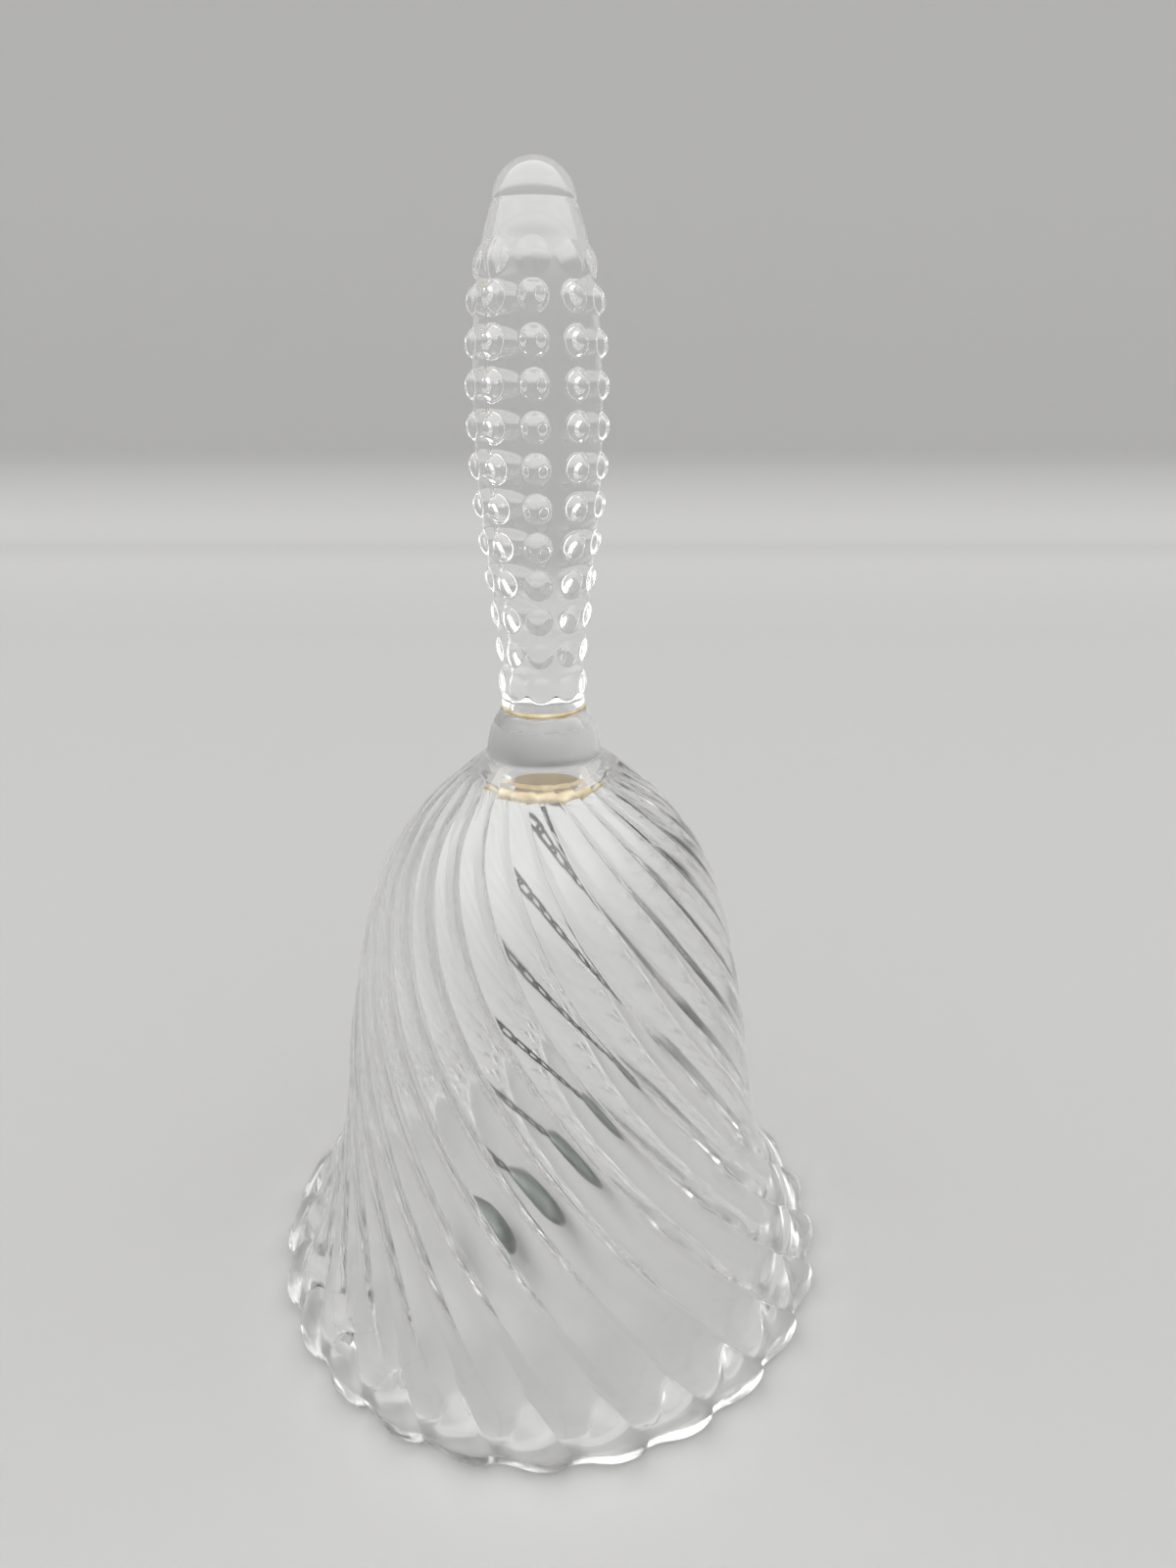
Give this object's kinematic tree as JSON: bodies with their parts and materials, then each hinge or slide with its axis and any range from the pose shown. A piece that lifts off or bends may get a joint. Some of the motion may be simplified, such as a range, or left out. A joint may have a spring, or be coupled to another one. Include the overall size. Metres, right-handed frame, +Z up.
{
  "type": "glass hand bell",
  "caption": "Glass hand bell with a spiral-fluted flaring skirt, scalloped rim, knobbed handle and a drop clapper on a fine chain.",
  "frame": {"origin": "on the bell's axis, in the plane that the rim stands on", "axes": "+Z up along the bell's axis towards the handle; -Y towards the viewer of the picture, +X to the viewer's right"},
  "size_m": [0.0886, 0.0888, 0.1592],
  "materials": {
    "bell_glass": "clear, slightly hazed",
    "handle_glass": "clear, fire polished",
    "aged_cement": "yellowed, semi-matte",
    "chain_steel": "dull nickel-plated wire",
    "clapper_metal": "dull plated"
  },
  "bodies": {
    "bell_body": {"bell": "bell_glass", "handle": "handle_glass", "handle_cement": "aged_cement", "crown_cement": "aged_cement", "chain_anchor": "chain_steel"},
    "link_01": {"chain_link_01": "chain_steel"},
    "link_02": {"chain_link_02": "chain_steel"},
    "link_03": {"chain_link_03": "chain_steel"},
    "link_04": {"chain_link_04": "chain_steel"},
    "link_05": {"chain_link_05": "chain_steel"},
    "link_06": {"chain_link_06": "chain_steel"},
    "link_07": {"chain_link_07": "chain_steel"},
    "link_08": {"chain_link_08": "chain_steel"},
    "link_09": {"chain_link_09": "chain_steel"},
    "link_10": {"chain_link_10": "chain_steel"},
    "link_11": {"chain_link_11": "chain_steel"},
    "link_12": {"chain_link_12": "chain_steel"},
    "link_13": {"chain_link_13": "chain_steel"},
    "link_14": {"chain_link_14": "chain_steel"},
    "link_15": {"chain_link_15": "chain_steel"},
    "link_16": {"chain_link_16": "chain_steel"},
    "clapper_body": {"clapper_eye": "chain_steel", "clapper": "clapper_metal"}
  },
  "joints": [
    {"name": "link_01_swing", "type": "hinge", "parent": "bell_body", "child": "link_01", "pos_m": [0, 0, 0.07675], "axis": [-0.7071, 0.7071, 0], "range_deg": [-19, 19]},
    {"name": "link_02_swing", "type": "hinge", "parent": "link_01", "child": "link_02", "pos_m": [0, 0, 0.07328], "axis": [0.7071, 0.7071, 0], "range_deg": [-20, 20]},
    {"name": "link_03_swing", "type": "hinge", "parent": "link_02", "child": "link_03", "pos_m": [0, 0, 0.06982], "axis": [0.7071, -0.7071, 0], "range_deg": [-21, 21]},
    {"name": "link_04_swing", "type": "hinge", "parent": "link_03", "child": "link_04", "pos_m": [0, 0, 0.06635], "axis": [-0.7071, -0.7071, 0], "range_deg": [-22, 22]},
    {"name": "link_05_swing", "type": "hinge", "parent": "link_04", "child": "link_05", "pos_m": [0, 0, 0.06289], "axis": [-0.7071, 0.7071, 0], "range_deg": [-24, 24]},
    {"name": "link_06_swing", "type": "hinge", "parent": "link_05", "child": "link_06", "pos_m": [0, 0, 0.05942], "axis": [0.7071, 0.7071, 0], "range_deg": [-25, 25]},
    {"name": "link_07_swing", "type": "hinge", "parent": "link_06", "child": "link_07", "pos_m": [0, 0, 0.05596], "axis": [0.7071, -0.7071, 0], "range_deg": [-27, 27]},
    {"name": "link_08_swing", "type": "hinge", "parent": "link_07", "child": "link_08", "pos_m": [0, 0, 0.05249], "axis": [-0.7071, -0.7071, 0], "range_deg": [-29, 29]},
    {"name": "link_09_swing", "type": "hinge", "parent": "link_08", "child": "link_09", "pos_m": [0, 0, 0.04902], "axis": [-0.7071, 0.7071, 0], "range_deg": [-32, 32]},
    {"name": "link_10_swing", "type": "hinge", "parent": "link_09", "child": "link_10", "pos_m": [0, 0, 0.04556], "axis": [0.7071, 0.7071, 0], "range_deg": [-35, 35]},
    {"name": "link_11_swing", "type": "hinge", "parent": "link_10", "child": "link_11", "pos_m": [0, 0, 0.04209], "axis": [0.7071, -0.7071, 0], "range_deg": [-39, 39]},
    {"name": "link_12_swing", "type": "hinge", "parent": "link_11", "child": "link_12", "pos_m": [0, 0, 0.03863], "axis": [-0.7071, -0.7071, 0], "range_deg": [-44, 44]},
    {"name": "link_13_swing", "type": "hinge", "parent": "link_12", "child": "link_13", "pos_m": [0, 0, 0.03516], "axis": [-0.7071, 0.7071, 0], "range_deg": [-45, 45]},
    {"name": "link_14_swing", "type": "hinge", "parent": "link_13", "child": "link_14", "pos_m": [0, 0, 0.0317], "axis": [0.7071, 0.7071, 0], "range_deg": [-45, 45]},
    {"name": "link_15_swing", "type": "hinge", "parent": "link_14", "child": "link_15", "pos_m": [0, 0, 0.02823], "axis": [0.7071, -0.7071, 0], "range_deg": [-45, 45]},
    {"name": "link_16_swing", "type": "hinge", "parent": "link_15", "child": "link_16", "pos_m": [0, 0, 0.02477], "axis": [-0.7071, -0.7071, 0], "range_deg": [-45, 45]},
    {"name": "clapper_swing", "type": "hinge", "parent": "link_16", "child": "clapper_body", "pos_m": [0, 0, 0.0213], "axis": [-0.7071, 0.7071, 0], "range_deg": [-45, 45]}
  ]
}
